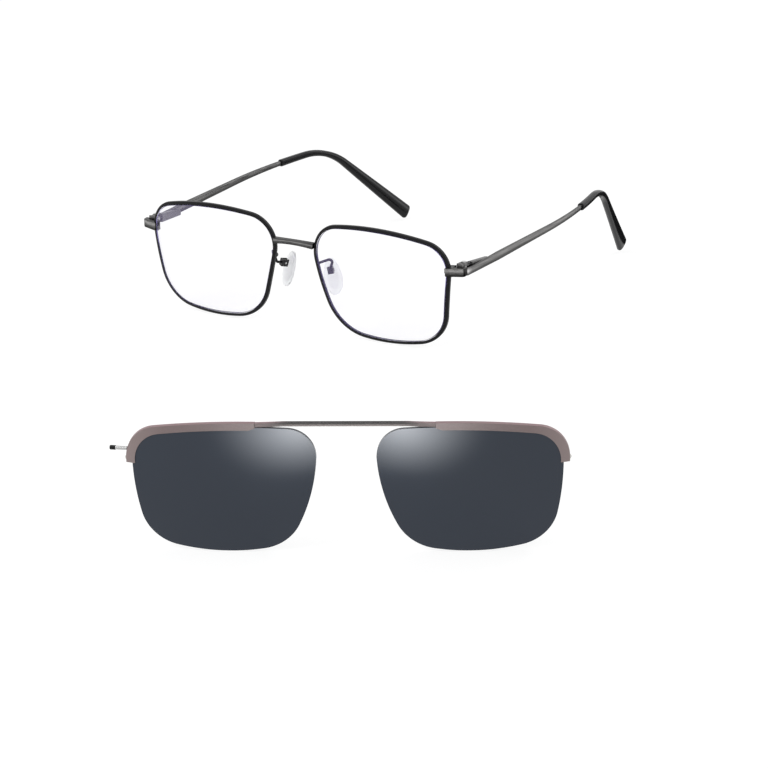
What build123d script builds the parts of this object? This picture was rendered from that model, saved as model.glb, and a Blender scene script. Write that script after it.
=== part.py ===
from build123d import *
from math import asin, cos, degrees, radians, sin, sqrt, tan
import os

# Spectacles with a magnetic sun clip that stands beside them.
# Millimetres. +X is the wearer's left, +Y runs back along the temples, +Z is up.
# The origin is the middle of the bridge. Left pieces are modelled, right ones are mirrored.

# Front of the spectacles
front_lean = 6.0
front_wrap = 2.7
lens_width = 54.4
lens_height = 41.5
lens_gap = 18.2
lens_drop = 10.95
lens_forward = 1.8
lens_curve = 115.0
lens_thick = 1.2
lens_tongue = 0.5
rim_lip = 0.35
rim_wall = 0.8
rim_depth = 1.3
rim_round = 0.3
rim_slit = 0.12
seat_gap = 0.02
fit_gap = 0.03
reach = 12.0

# Outlines run from the top inner corner, clockwise as the wearer's left lens is seen from the front.
# Corners are shares of half the width and half the height, bulges and radii shares of half the height.
rim_corner_shares = ((-1.063, 0.81), (1.031, 0.727), (0.865, -0.867), (-0.705, -0.876))
rim_bulge_shares = (0.222, 0.016, 0.13, 0.057)
rim_radius_shares = (0.53, 0.49, 0.64, 0.8)
clip_corner_shares = ((-0.998, 0.911), (0.995, 0.809), (0.842, -0.839), (-0.658, -0.893))
clip_bulge_shares = (0.139, 0.083, 0.134, 0.163)
clip_radius_shares = (0.463, 0.492, 0.656, 0.716)

# Bridge
bridge_end_high = 2.3
bridge_crown = 0.4
bridge_undercut = 1.0
bridge_deep = 1.6
bridge_bow = 0.7

# End pieces, closing blocks and magnets
end_high = 3.0
end_drop = 2.9
end_proud = 0.9
end_overlap = 0.9
end_reach = 6.0
end_long = 2.15
end_leg = 1.75
end_return = 1.6
end_round = 1.2
end_soft = 0.3
lock_wide = 2.2
lock_deep = 1.6
lock_high = 1.7
lock_lap = 1.25
lock_thread = 1.2
lock_screw_radius = 0.45
lock_head_radius = 0.75
lock_head_high = 0.35
magnet_radius = 0.85
magnet_thick = 0.9
magnet_wall = 0.06

# Nose pads and their arms
pad_top = (8.5, -7.5, 9.2)
pad_bottom = (11.9, -20.5, 6.6)
pad_splay = 60.0
pad_wide = 6.6
pad_long = 13.6
pad_thick = 2.4
pad_round = 0.8
pad_core_wide = 3.6
pad_core_long = 9.6
pad_core_thick = 0.7
pad_core_sink = 0.8
lug_wide = 1.0
lug_long = 1.8
lug_up = 2.4
lug_axis_high = 1.25
box_wall = 0.45
box_long = 2.6
box_gap = 0.3
pad_pin_radius = 0.35
pad_head_radius = 0.62
pad_head_high = 0.3
arm_radius = 0.48
arm_root_out = 9.35
arm_root_up = -6.6
arm_stand = 1.7
arm_corner = (13.6, -5.4, 5.0)
arm_bend = 1.1
last_bend_share = 0.6

# Hinges with a spring carriage, placed by distances in from the end piece's side and behind its rear end
hinge_inset = 2.8
hinge_behind = 2.0
hinge_top = 0.1
knuckle_radius = 1.25
knuckle_high = 1.25
middle_high = 1.65
knuckle_gap = 0.05
pin_radius = 0.6
pin_head_high = 0.25
pin_head_radius = 0.95
leaf_long = 0.55
leaf_short = 0.2
leaf_arm_wide = 0.7
neck_wide = 1.0
neck_high = 1.4
slide_travel = 0.8
box_behind = 5.4
guide_long = 2.3
cavity_long = 7.6
plug_long = 1.1
spring_box_wide = 2.2
spring_box_high = 3.2
spring_box_slope = 5.0
bore_radius = 0.75
rod_radius = 0.32
rod_long = 5.9
rod_head_radius = 0.7
rod_head_long = 0.8
spring_radius = 0.66
spring_wire = 0.24

# Temples and their tips, by distance back from the bridge and height over it
temple_thick = 1.1
temple_inset = 0.3
temple_behind = 0.5
temple_butt_high = 2.5
temple_broad_back = 27.0
temple_broad_high = 3.2
temple_z = -3.0
temple_rise = 2.95
temple_sleeve_back = 86.6
temple_sleeve_high = 1.8
temple_round = 0.4
bow_start = 60.0
bow_end = 114.5
bow_radius = 165.0
bend_back = 109.8
bend_radius = 25.0
bend_drop = 42.2
tip_back = 145.9
tip_bend_high = 2.3
tip_end_high = 5.6
tip_start_high = 2.7
tip_thick = 2.6
tip_round = 0.8
tip_corner = 1.3
core_high = 1.2
core_thick = 0.8
core_end = 9.0

# Sun clip
clip_wider = 2.4
clip_lower = 0.1
clip_shift_out = 1.4
clip_shift_up = -0.6
clip_lens_thick = 1.1
clip_standoff = 2.55
clip_rail_side = 1.95
clip_rail_top = 1.35
clip_rail_in = 0.85
clip_rail_deep = 1.5
clip_rail_foot = 0.3
clip_bar_half = 27.5
clip_bar_high = 1.25
clip_bar_deep = 1.2
clip_bar_straight = 19.0
clip_bar_dip = 0.05
clip_step_long = 6.5
clip_step_high = 1.5
hook_radius = 0.6
hook_long = 4.4
hook_turn = 8.0
hook_rise = 2.8
hook_root = 0.9
hook_tip_long = 1.7
hook_tip_wall = 0.12

# Place of the clip when it is taken off: docked, then turned about a far upright axis
clip_turn = 29.7
clip_pivot = (424.6, 187.4)

os.makedirs("parts", exist_ok=True)

# Planes of the front: local x is out to the left, y is up the front and z is forward
front_plane = Plane.XZ.rotated((front_lean, 0, 0))
to_display = Pos(*clip_pivot) * Rot(0, 0, clip_turn) * Pos(-clip_pivot[0], -clip_pivot[1])
clip_front = Plane(to_display * front_plane.location)
clip_middle = Plane(to_display * Plane.YZ.location)
lens_out = (lens_gap + lens_width) / 2
rim_edge = lens_out + lens_width / 2
half_rim = rim_depth / 2
front_face = half_rim + end_proud
clip_width = lens_width + clip_wider
clip_height = lens_height - clip_lower


def on_front(front, out, up, back):
    """A point of the front, by its distances out, up and back from the middle of the bridge."""
    return front.from_local_coords(Vector(out, up, -back))


def lens_plane(front, out=0.0, up=0.0):
    """The plane at a lens's pole, turned by the wrap, or moved out and up within itself."""
    wrap = radians(front_wrap)
    outward = front.x_dir * cos(wrap) - front.z_dir * sin(wrap)
    pole = Plane(on_front(front, lens_out, -lens_drop, -lens_forward), outward, outward.cross(front.y_dir))
    return Plane(pole.from_local_coords(Vector(out, up, 0)), pole.x_dir, pole.z_dir)


def level_plane(front, up):
    """A plane square to the front at a height: local x is out and y is back."""
    return Plane(on_front(front, 0, up, 0), front.x_dir, front.y_dir)


def curve_point(front, out, up, height):
    """A point over the left lens's curve, by its place in the lens plane and its height over the curve."""
    ray = Vector(out, up, sqrt(lens_curve**2 - out**2 - up**2)).normalized()
    return lens_plane(front).from_local_coords(ray * (lens_curve + height) - Vector(0, 0, lens_curve))


def curve_plane(front, out, up, height):
    """The plane that touches the curve at that point, facing forward."""
    point = curve_point(front, out, up, height)
    centre = lens_plane(front).from_local_coords(Vector(0, 0, -lens_curve))
    return Plane(point, front.x_dir, point - centre)


def curved_layer(front, rear, fore):
    """The layer between two balls about a lens's centre of curvature."""
    with BuildPart() as layer:
        with Locations(lens_plane(front).from_local_coords(Vector(0, 0, -lens_curve))):
            Sphere(lens_curve + fore)
            Sphere(lens_curve + rear, mode=Mode.SUBTRACT)
    return layer.part


def outline(width, height, corner_shares, bulge_shares, radius_shares, grow):
    """A lens outline: where four wide circles overlap, with rounded corners, all grown alike."""
    corners = [Vector(across * width / 2, up * height / 2) for across, up in corner_shares]
    with BuildSketch() as shape:
        for side, bulge_share in enumerate(bulge_shares):
            start = corners[side]
            bulge = bulge_share * height / 2
            chord = corners[(side + 1) % len(corners)] - start
            half_chord = chord.length / 2
            radius = (half_chord**2 + bulge**2) / (2 * bulge)
            outward = Vector(-chord.Y, chord.X).normalized()
            with Locations(start + chord / 2 - outward * (radius - bulge)):
                Circle(radius + grow, mode=Mode.INTERSECT if side else Mode.ADD)
        for corner, radius_share in zip(corners, radius_shares):
            fillet(shape.vertices().sort_by_distance(corner)[0], radius=radius_share * height / 2 + grow)
    return shape.sketch


def rim_outline(grow):
    """The outline of a spectacle lens's edge, grown."""
    return outline(lens_width, lens_height, rim_corner_shares, rim_bulge_shares, rim_radius_shares, grow)


def clip_outline(grow):
    """The outline of a clip lens's edge, grown."""
    return outline(clip_width, clip_height, clip_corner_shares, clip_bulge_shares, clip_radius_shares, grow)


def curved_plate(front, plane, shape, rear, fore):
    """A shape cut through a layer of the lens's curve."""
    with BuildPart() as plate:
        with BuildSketch(plane):
            add(shape)
        extrude(amount=reach, both=True)
        add(curved_layer(front, rear, fore), mode=Mode.INTERSECT)
    return plate.part


def front_block(inner, outer, base, high, rear, fore):
    """A block of the front between two distances out, at a height, within a layer of the curve."""
    with BuildPart() as block:
        with BuildSketch(level_plane(front_plane, base)):
            with Locations(((inner + outer) / 2, 0)):
                Rectangle(outer - inner, reach * 2)
        extrude(amount=high)
        add(curved_layer(front_plane, rear, fore), mode=Mode.INTERSECT)
    return block.part


left_lens_plane = lens_plane(front_plane)
end_base = -end_drop - end_high / 2
lock_top = end_base + lock_lap
end_out = rim_edge + end_reach
end_back = curve_point(front_plane, end_out - lens_out, lens_drop - end_drop, front_face).Y + end_long
magnet_place = (clip_width / 2 + clip_shift_out + magnet_radius + magnet_wall, lens_drop - end_drop)

# Rims: a curved ring with a groove for the lens, slit at the closing block
with BuildPart() as rim:
    add(curved_plate(front_plane, left_lens_plane, rim_outline(rim_wall), -half_rim, half_rim))
    fillet(rim.edges().filter_by(lambda edge: edge.length > rim_depth + rim_wall), radius=rim_round)
    with BuildSketch(left_lens_plane):
        add(rim_outline(-rim_lip))
    extrude(amount=reach, both=True, mode=Mode.SUBTRACT)
    groove = lens_tongue / 2 + fit_gap
    add(curved_plate(front_plane, left_lens_plane, rim_outline(fit_gap), -groove, groove), mode=Mode.SUBTRACT)
    with BuildSketch(level_plane(front_plane, lock_top)):
        with Locations((rim_edge, 0)):
            Rectangle(reach, reach * 2)
    extrude(amount=rim_slit, mode=Mode.SUBTRACT)

# Lenses: a curved body that carries a tongue in the rim's groove
with BuildPart() as lens:
    half_lens = lens_thick / 2
    half_tongue = lens_tongue / 2
    add(curved_plate(front_plane, left_lens_plane, rim_outline(-rim_lip - fit_gap), -half_lens, half_lens))
    add(curved_plate(front_plane, left_lens_plane, rim_outline(0), -half_tongue, half_tongue))

# Bridge: an arched bar between the rims, taller at its ends
with BuildPart() as bridge:
    half_span = lens_gap / 2
    with BuildSketch(front_plane):
        with BuildLine():
            SagittaArc((-half_span, bridge_end_high / 2), (half_span, bridge_end_high / 2), bridge_crown)
            Line((half_span, bridge_end_high / 2), (half_span, -bridge_end_high / 2))
            SagittaArc((-half_span, -bridge_end_high / 2), (half_span, -bridge_end_high / 2), bridge_undercut)
            Line((-half_span, -bridge_end_high / 2), (-half_span, bridge_end_high / 2))
        make_face()
    extrude(amount=reach, both=True)
    with BuildSketch(level_plane(front_plane, -reach)):
        with BuildLine():
            SagittaArc((-half_span, -bridge_deep / 2), (half_span, -bridge_deep / 2), -bridge_bow)
            Line((half_span, -bridge_deep / 2), (half_span, bridge_deep / 2))
            SagittaArc((-half_span, bridge_deep / 2), (half_span, bridge_deep / 2), -bridge_bow)
            Line((-half_span, bridge_deep / 2), (-half_span, -bridge_deep / 2))
        make_face()
    extrude(amount=reach * 2, mode=Mode.INTERSECT)
    with BuildSketch(left_lens_plane):
        add(rim_outline(rim_wall + seat_gap))
    left_cut = extrude(amount=reach, both=True, mode=Mode.SUBTRACT)
    mirror(left_cut, about=Plane.YZ, mode=Mode.SUBTRACT)

# End pieces: a front leg over the rim, a return leg beside the face and the upper half of the closing block
end_inner = rim_edge - end_overlap
block_depth = half_rim + lock_deep
lock_out = end_inner + lock_wide / 2
lock_middle = curve_point(front_plane, lock_out - lens_out, lens_drop - end_drop, -half_rim - lock_deep / 2)
lock_back = level_plane(front_plane, 0).to_local_coords(lock_middle).Y
magnet_seat = curve_plane(front_plane, *magnet_place, front_face)
with BuildPart() as end_piece:
    add(front_block(end_inner, end_out, end_base, end_high, front_face - end_leg, front_face))
    add(front_block(end_out - end_return, end_out, end_base, end_high, -reach, front_face))
    split(bisect_by=Plane((0, end_back, 0), z_dir=(0, -1, 0)), keep=Keep.TOP)
    outer_edges = end_piece.edges().filter_by(lambda edge: abs(edge.length - end_high) < end_round)
    fillet(outer_edges.group_by(Axis.X)[-1].sort_by(Axis.Y)[0], radius=end_round)
    fillet(end_piece.edges().filter_by(lambda edge: edge.length > end_return), radius=end_soft)
    add(front_block(end_inner, end_inner + lock_wide, lock_top + rim_slit, end_high - lock_lap - rim_slit,
                    -block_depth, front_face))
    add(curved_plate(front_plane, left_lens_plane, rim_outline(rim_wall + seat_gap), -half_rim - seat_gap,
                     half_rim + seat_gap), mode=Mode.SUBTRACT)
    with BuildSketch(level_plane(front_plane, lock_top)):
        with Locations((lock_out, lock_back)):
            Circle(lock_screw_radius + fit_gap)
    extrude(amount=rim_slit + lock_thread + fit_gap, mode=Mode.SUBTRACT)
    with BuildSketch(magnet_seat):
        Circle(magnet_radius + seat_gap)
    extrude(amount=-magnet_thick - seat_gap, mode=Mode.SUBTRACT)

# Closing blocks: the lower halves behind the rims, drawn up by a screw from below
lock_base = lock_top - lock_high
with BuildPart() as rim_lock:
    add(front_block(end_inner, end_inner + lock_wide, lock_base, lock_high, -block_depth,
                    -half_rim - seat_gap))
    with BuildSketch(level_plane(front_plane, lock_base)):
        with Locations((lock_out, lock_back)):
            Circle(lock_screw_radius + fit_gap)
    extrude(amount=lock_high, mode=Mode.SUBTRACT)
with BuildPart() as lock_screw:
    with BuildSketch(level_plane(front_plane, lock_base)):
        with Locations((lock_out, lock_back)):
            Circle(lock_screw_radius)
    extrude(amount=lock_high + rim_slit + lock_thread)
    with BuildSketch(level_plane(front_plane, lock_base - seat_gap)):
        with Locations((lock_out, lock_back)):
            Circle(lock_head_radius)
    extrude(amount=-lock_head_high)
    with BuildSketch(level_plane(front_plane, lock_base - seat_gap)):
        with Locations((lock_out, lock_back)):
            Circle(lock_screw_radius)
    extrude(amount=seat_gap)

# Magnets set in the end pieces' front faces
with BuildPart() as frame_magnet:
    with BuildSketch(magnet_seat):
        Circle(magnet_radius)
    extrude(amount=-magnet_thick)

# Nose pads: a soft pad round a stiff core, whose lug rocks on a screw in the pad box
pad_head = on_front(front_plane, *pad_top)
pad_foot = on_front(front_plane, *pad_bottom)
pad_up = (pad_head - pad_foot).normalized()
pad_outward = front_plane.x_dir * cos(radians(pad_splay)) + front_plane.z_dir * sin(radians(pad_splay))
pad_side = pad_up.cross(pad_outward).normalized()
pad_plane = Plane((pad_head + pad_foot) / 2, pad_side, pad_side.cross(pad_up))
pad_axis = pad_plane.from_local_coords(Vector(0, lug_up, lug_axis_high))
pad_cross = Plane(pad_axis, pad_up, pad_side)
cheek_inner = lug_wide / 2 + fit_gap
cheek_outer = cheek_inner + box_wall
lug_high = lug_axis_high + lug_long / 2


def pad_core(gap):
    """The pad's stiff core with its lug, grown by a gap."""
    with BuildPart() as core:
        with BuildSketch(pad_plane.offset(-pad_core_sink - pad_core_thick - gap)):
            Ellipse(pad_core_wide / 2 + gap, pad_core_long / 2 + gap)
        extrude(amount=pad_core_thick + 2 * gap)
        with BuildSketch(pad_plane.offset(-pad_core_sink)):
            with Locations((0, lug_up)):
                Rectangle(lug_wide + 2 * gap, lug_long + 2 * gap)
        extrude(amount=pad_core_sink + lug_axis_high)
        with BuildSketch(pad_cross.offset(-lug_wide / 2 - gap)):
            Circle(lug_long / 2 + gap)
        extrude(amount=lug_wide + 2 * gap)
    return core.part


with BuildPart() as pad_insert:
    add(pad_core(0))
    with BuildSketch(pad_cross.offset(-lug_wide)):
        Circle(pad_pin_radius + fit_gap)
    extrude(amount=lug_wide * 2, mode=Mode.SUBTRACT)
with BuildPart() as nose_pad:
    with BuildSketch(pad_plane):
        Ellipse(pad_wide / 2, pad_long / 2)
    extrude(amount=-pad_thick)
    fillet(nose_pad.edges(), radius=pad_round)
    add(pad_core(seat_gap), mode=Mode.SUBTRACT)
with BuildPart() as pad_box:
    with BuildSketch(pad_plane.offset(box_gap)):
        with Locations((0, lug_up)):
            Rectangle(2 * cheek_outer, box_long)
    extrude(amount=lug_high + box_wall)
    with BuildSketch(pad_plane.offset(box_gap)):
        with Locations((0, lug_up)):
            Rectangle(2 * cheek_inner, box_long)
    extrude(amount=lug_high, mode=Mode.SUBTRACT)
    with BuildSketch(pad_cross.offset(-cheek_outer)):
        Circle(pad_pin_radius + fit_gap)
    extrude(amount=2 * cheek_outer, mode=Mode.SUBTRACT)
with BuildPart() as pad_screw:
    with BuildSketch(pad_cross.offset(-cheek_outer)):
        Circle(pad_pin_radius)
    extrude(amount=2 * cheek_outer)
    with BuildSketch(pad_cross.offset(cheek_outer + seat_gap)):
        Circle(pad_head_radius)
    extrude(amount=pad_head_high)
    with BuildSketch(pad_cross.offset(cheek_outer)):
        Circle(pad_pin_radius)
    extrude(amount=seat_gap)

# Pad arms: a wire from the rim's back that turns out, then down to the pad box
root_place = (arm_root_out - lens_out, arm_root_up + lens_drop)
arm_root = curve_point(front_plane, *root_place, -half_rim - seat_gap)
arm_rise = curve_point(front_plane, *root_place, -half_rim - arm_stand)
arm_foot = pad_plane.from_local_coords(Vector(0, lug_up, box_gap + lug_high + box_wall + seat_gap))
arm_land = pad_plane.from_local_coords(Vector(0, lug_up, box_gap + lug_high + box_wall + arm_stand))
with BuildPart() as pad_arm:
    with BuildLine() as arm_path:
        FilletPolyline(arm_root, arm_rise, on_front(front_plane, *arm_corner), arm_land, arm_foot,
                       radius=(arm_bend, arm_bend, arm_bend * last_bend_share))
    with BuildSketch(Plane(arm_root, z_dir=arm_root - arm_rise)):
        Circle(arm_radius)
    sweep(path=arm_path.wire())

# Hinges on the front: a leaf inside the return leg, and two knuckles on a screw
hinge_out = end_out - hinge_inset
hinge_back = end_back + hinge_behind
leaf_rear = end_back - leaf_short
leaf_front = leaf_rear - leaf_long
hinge_base = hinge_top - 2 * knuckle_high - middle_high - 2 * knuckle_gap
middle_base = hinge_base + knuckle_high + knuckle_gap
leaf_out = end_out - end_return - fit_gap
leaf_in = hinge_out - knuckle_radius
with BuildPart() as hinge_front:
    with BuildSketch(Plane.XY.offset(hinge_base)):
        with Locations((leaf_in, leaf_front)):
            Rectangle(leaf_out - leaf_in, leaf_rear - leaf_front, align=(Align.MIN, Align.MIN))
    extrude(amount=hinge_top - hinge_base)
    for base in (hinge_base, hinge_top - knuckle_high):
        with BuildSketch(Plane.XY.offset(base)):
            with Locations((leaf_in, leaf_front)):
                Rectangle(knuckle_radius + leaf_arm_wide, hinge_back - leaf_front,
                          align=(Align.MIN, Align.MIN))
            with Locations((hinge_out, hinge_back)):
                Circle(knuckle_radius)
                Circle(pin_radius + fit_gap, mode=Mode.SUBTRACT)
        extrude(amount=knuckle_high)
with BuildPart() as hinge_screw:
    with BuildSketch(Plane.XY.offset(hinge_base)):
        with Locations((hinge_out, hinge_back)):
            Circle(pin_radius)
    extrude(amount=hinge_top - hinge_base + seat_gap)
    with BuildSketch(Plane.XY.offset(hinge_top + seat_gap)):
        with Locations((hinge_out, hinge_back)):
            Circle(pin_head_radius)
    extrude(amount=pin_head_high)

# Spring carriages: a middle knuckle on a neck that slides in the spring box, with a rod and its head
temple_out = end_out - temple_inset
temple_butt = end_back + temple_behind
box_front = end_back + box_behind
box_middle = temple_out - temple_thick - seat_gap - spring_box_wide / 2
box_up = middle_base + middle_high / 2
box_rear = box_front + guide_long + cavity_long + plug_long
neck_rear = box_front + guide_long
rod_rear = neck_rear + rod_long


def across_hinge(back):
    """A plane across the spring box at a distance back, facing back: local x is out, y is down."""
    return Plane((box_middle, back, box_up), (1, 0, 0), (0, 1, 0))


with BuildPart() as hinge_carriage:
    with BuildSketch(Plane.XY.offset(middle_base)):
        with Locations((hinge_out, hinge_back)):
            Circle(knuckle_radius)
    extrude(amount=middle_high)
    with BuildSketch(across_hinge(hinge_back)):
        Rectangle(neck_wide, neck_high)
    extrude(amount=neck_rear - hinge_back)
    with BuildSketch(Plane.XY.offset(middle_base)):
        with Locations((hinge_out, hinge_back)):
            Circle(pin_radius + fit_gap)
    extrude(amount=middle_high, mode=Mode.SUBTRACT)
    with BuildSketch(across_hinge(neck_rear)):
        Circle(rod_radius)
    extrude(amount=rod_long)
    with BuildSketch(across_hinge(rod_rear)):
        Circle(rod_head_radius)
    extrude(amount=rod_head_long)
with BuildPart() as hinge_spring:
    with BuildSketch(across_hinge(neck_rear + slide_travel + knuckle_gap)):
        Circle(spring_radius)
        Circle(spring_radius - spring_wire, mode=Mode.SUBTRACT)
    extrude(amount=rod_long - slide_travel - 2 * knuckle_gap)
with BuildPart() as spring_box:
    with BuildSketch(across_hinge(box_front)):
        Rectangle(spring_box_wide, spring_box_high)
    extrude(amount=box_rear - box_front)
    slope = radians(spring_box_slope)
    split(bisect_by=Plane((0, box_front, box_up + spring_box_high / 2), z_dir=(0, sin(slope), cos(slope))),
          keep=Keep.BOTTOM)
    fillet(spring_box.edges().filter_by(lambda edge: edge.length > guide_long + cavity_long),
           radius=temple_round)
    with BuildSketch(across_hinge(box_front)):
        Rectangle(neck_wide + 2 * fit_gap, neck_high + 2 * fit_gap)
    extrude(amount=guide_long, mode=Mode.SUBTRACT)
    with BuildSketch(across_hinge(neck_rear)):
        Circle(bore_radius)
    extrude(amount=cavity_long + plug_long, mode=Mode.SUBTRACT)
with BuildPart() as spring_plug:
    with BuildSketch(across_hinge(box_rear - plug_long)):
        Circle(bore_radius - fit_gap)
    extrude(amount=plug_long)


def spine(back):
    """The height of a temple's middle line on its straight part."""
    return temple_z + (back - temple_butt) * tan(radians(temple_rise))


def side_bar(start, start_high, bend_high, end, end_high, end_round=0.0):
    """A bar's outline from the side: heights at its start, at the bend behind the ear and at its end."""
    rise = radians(temple_rise)
    drop = radians(bend_drop)
    half_turn = (rise + drop) / 2
    tail = spine(bend_back) - (end - bend_back) * tan(drop)
    stations = (
        (start, spine(start), start_high / 2, rise),
        (bend_back, spine(bend_back), bend_high / 2 / cos(half_turn), rise - half_turn),
        (end, tail, end_high / 2, -drop),
    )
    upper = [(back - half * sin(lean), up + half * cos(lean)) for back, up, half, lean in stations]
    lower = [(back + half * sin(lean), up - half * cos(lean)) for back, up, half, lean in stations]
    with BuildSketch() as bar:
        with BuildLine():
            Polyline(*upper, *reversed(lower), close=True)
        make_face()
        fillet(bar.vertices().sort_by_distance(upper[1])[0], radius=bend_radius + bend_high / 2)
        fillet(bar.vertices().sort_by_distance(lower[1])[0], radius=bend_radius - bend_high / 2)
        if end_round:
            for corner in (upper[2], lower[2]):
                fillet(bar.vertices().sort_by_distance(corner)[0], radius=end_round)
    return bar.sketch


def plan_bar(thick):
    """The strip that a temple follows from above: straight, bowed inward, and straight again to its end."""
    middle = temple_out - temple_thick / 2
    turn = degrees(asin((bow_end - bow_start) / bow_radius))
    centre = (middle - bow_radius, bow_start)
    tail = (tip_back + tip_end_high - bow_end) / cos(radians(turn))
    with BuildSketch() as strip:
        with BuildLine():
            outer = CenterArc(centre, bow_radius + thick / 2, 0, turn)
            inner = CenterArc(centre, bow_radius - thick / 2, 0, turn)
            outer_tail = Line(outer @ 1, outer @ 1 + outer % 1 * tail)
            inner_tail = Line(inner @ 1, inner @ 1 + inner % 1 * tail)
            Line(outer_tail @ 1, inner_tail @ 1)
            Polyline(inner @ 0, (middle - thick / 2, temple_butt), (middle + thick / 2, temple_butt),
                     outer @ 0)
        make_face()
    return strip.sketch


def bowed_bar(side, thick):
    """A bar with one outline from the side and a bowed strip from above."""
    with BuildPart() as bar:
        with BuildSketch(Plane.YZ):
            add(side)
        extrude(amount=end_out + tip_thick)
        with BuildSketch(Plane.XY):
            add(plan_bar(thick))
        extrude(amount=tip_back, both=True, mode=Mode.INTERSECT)
    return bar.part


def core_bar(gap):
    """The wire core that the tip's sleeve slides over, grown by a gap."""
    high = core_high + 2 * gap
    return bowed_bar(side_bar(temple_sleeve_back - core_high, high, high, tip_back - core_end + gap, high),
                     core_thick + 2 * gap)


# Temples: a flat bar, broad behind the hinge and slim at the tip, with a core inside the tip's sleeve
with BuildPart() as temple:
    stations = ((temple_butt, temple_butt_high), (temple_broad_back, temple_broad_high),
                (temple_sleeve_back, temple_sleeve_high))
    with BuildSketch() as blade_side:
        with BuildLine():
            Polyline(*[(back, spine(back) + high / 2) for back, high in stations],
                     *[(back, spine(back) - high / 2) for back, high in reversed(stations)], close=True)
        make_face()
        broad_corners = blade_side.vertices().group_by(Axis.X)[1]
        fillet(broad_corners, radius=bow_radius)
    add(bowed_bar(blade_side.sketch, temple_thick))
    fillet(temple.edges().filter_by(lambda edge: edge.length > reach), radius=temple_round)
    fillet(temple.edges().group_by(Axis.Y)[0], radius=temple_round)
    add(core_bar(0))

# Tips: a sleeve that swells to a squared end
with BuildPart() as temple_tip:
    sleeve_start = temple_sleeve_back + tip_start_high * sin(radians(temple_rise))
    add(bowed_bar(side_bar(sleeve_start, tip_start_high, tip_bend_high, tip_back, tip_end_high, tip_corner),
                  tip_thick))
    fillet(temple_tip.edges().filter_by(lambda edge: edge.center().Y > temple_sleeve_back + tip_round),
           radius=tip_round)
    add(core_bar(fit_gap), mode=Mode.SUBTRACT)

# Sun clip: lenses held along their tops by curved rails, a bar over the bridge, hooks and magnets
clip_plane = lens_plane(clip_front, clip_shift_out, clip_shift_up)
clip_rear = clip_standoff - clip_rail_deep / 2
clip_fore = clip_standoff + clip_rail_deep / 2
bar_end = clip_bar_half - lens_out - clip_shift_out + seat_gap
rail_top = clip_height / 2 + clip_rail_top
rail_end = magnet_place[1] - clip_shift_up - magnet_radius - clip_rail_foot
half_clip_lens = clip_lens_thick / 2
with BuildPart() as clip_lens:
    add(curved_plate(clip_front, clip_plane, clip_outline(0), clip_standoff - half_clip_lens,
                     clip_standoff + half_clip_lens))
clip_magnet_seat = curve_plane(clip_front, *magnet_place, clip_rear)
hook_base = curve_point(clip_front, clip_shift_out + clip_width / 2 + clip_rail_side - hook_root,
                        magnet_place[1] + hook_rise, clip_standoff)
hook_way = clip_front.x_dir * cos(radians(hook_turn)) - clip_front.z_dir * sin(radians(hook_turn))
hook_plane = Plane(hook_base, clip_front.y_dir, hook_way)
with BuildPart() as clip_rail:
    with BuildSketch() as rail_shape:
        add(outline(clip_width + 2 * clip_rail_side, clip_height + 2 * clip_rail_top, clip_corner_shares,
                    clip_bulge_shares, clip_radius_shares, 0))
        add(clip_outline(-clip_rail_in), mode=Mode.SUBTRACT)
        with BuildLine():
            Polyline((bar_end, rail_top + clip_rail_top), (bar_end, rail_top - clip_step_high),
                     (bar_end + clip_step_long, clip_height / 2 - clip_rail_in - clip_step_high),
                     (bar_end + clip_step_long, rail_end), (clip_width, rail_end),
                     (clip_width, rail_top + clip_rail_top), close=True)
        make_face(mode=Mode.INTERSECT)
    add(curved_plate(clip_front, clip_plane, rail_shape.sketch, clip_rear, clip_fore))
    add(curved_plate(clip_front, clip_plane, clip_outline(fit_gap), clip_standoff - half_clip_lens - fit_gap,
                     clip_standoff + half_clip_lens + fit_gap), mode=Mode.SUBTRACT)
    with BuildSketch(clip_magnet_seat.offset(-seat_gap)):
        Circle(magnet_radius + seat_gap)
    extrude(amount=magnet_thick + 2 * seat_gap, mode=Mode.SUBTRACT)
with BuildPart() as hooked_rail:
    add(clip_rail.part)
    with BuildSketch(hook_plane.offset(-seat_gap)):
        Circle(hook_radius + seat_gap)
    extrude(amount=hook_long, mode=Mode.SUBTRACT)
with BuildPart() as clip_magnet:
    with BuildSketch(clip_magnet_seat):
        Circle(magnet_radius)
    extrude(amount=magnet_thick)
with BuildPart() as clip_hook:
    with BuildSketch(hook_plane):
        Circle(hook_radius)
    extrude(amount=hook_root + hook_long)
    with BuildSketch(hook_plane.offset(hook_root + hook_long - hook_tip_long)):
        Circle(hook_radius)
        Circle(hook_radius - hook_tip_wall, mode=Mode.SUBTRACT)
    extrude(amount=hook_tip_long, mode=Mode.SUBTRACT)
with BuildPart() as clip_hook_tip:
    with BuildSketch(hook_plane.offset(hook_root + hook_long - hook_tip_long + seat_gap)):
        Circle(hook_radius + hook_tip_wall)
    extrude(amount=hook_tip_long + hook_tip_wall)
    fillet(clip_hook_tip.faces().sort_by(Axis(hook_base, hook_way))[-1].edges(), radius=hook_radius / 2)
    with BuildSketch(hook_plane.offset(hook_root)):
        Circle(hook_radius - hook_tip_wall + seat_gap)
    extrude(amount=hook_long + seat_gap, mode=Mode.SUBTRACT)

# The bar over the bridge: straight in the middle, then along the lens's curve to the rails' ends
bar_top = rail_top - clip_bar_dip + clip_shift_up - lens_drop
bar_places = (clip_bar_straight, (clip_bar_straight + clip_bar_half) / 2, clip_bar_half)
bar_base_plane = level_plane(clip_front, bar_top - clip_bar_high)


def bar_points(height):
    """Places of the bar's edge from above, at a height over the curve."""
    points = [curve_point(clip_front, out - lens_out, bar_top + lens_drop, height) for out in bar_places]
    local = [bar_base_plane.to_local_coords(point) for point in points]
    return [(out, point.Y) for out, point in zip(bar_places, local)]


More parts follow.
